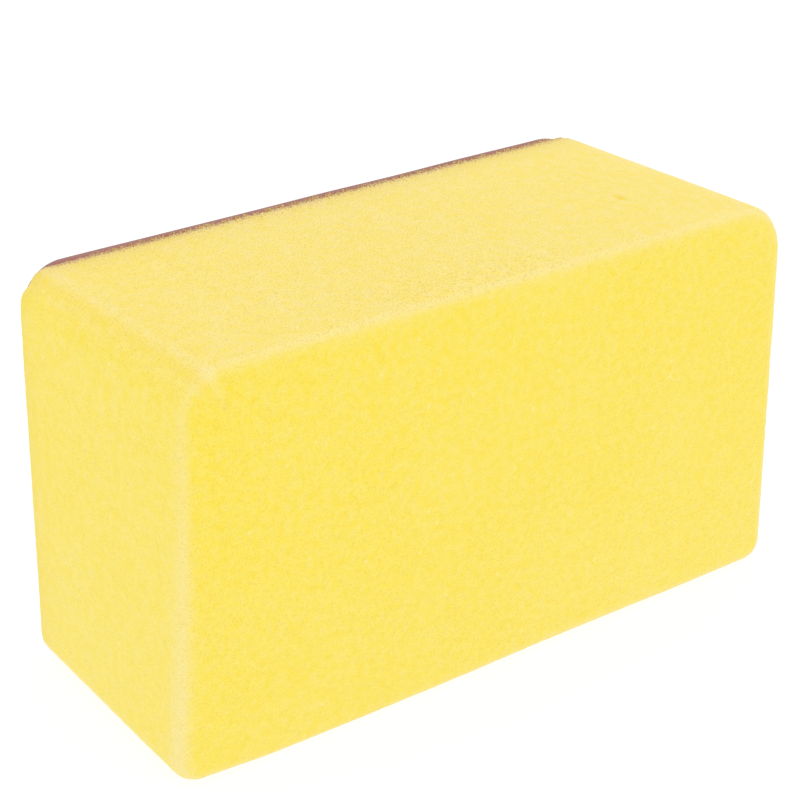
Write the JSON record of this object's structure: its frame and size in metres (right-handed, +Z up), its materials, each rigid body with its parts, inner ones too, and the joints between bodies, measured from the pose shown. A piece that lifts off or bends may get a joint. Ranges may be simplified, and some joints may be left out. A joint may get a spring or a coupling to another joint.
{
  "type": "grout float",
  "caption": "Hand-held grout float without a handle: a soft foam grip block, standing on its long narrow side, with a firm rubber working pad bonded over its rear face.",
  "frame": {"origin": "centre of the float's footprint, on the surface that its long narrow side stands on", "axes": "+Z up across the block's height, +X along its length, +Y out through the working face of the rubber pad, so the grip face looks along -Y"},
  "size_m": [0.152, 0.065, 0.0875],
  "materials": {
    "foam": "soft yellow open-cell foam, matt",
    "adhesive": "cured contact adhesive, dull",
    "pad_rubber": "firm reddish-brown gum rubber, satin"
  },
  "bodies": {
    "root": {"foam_block": "foam", "adhesive_film": "adhesive", "rubber_pad": "pad_rubber"}
  },
  "joints": []
}
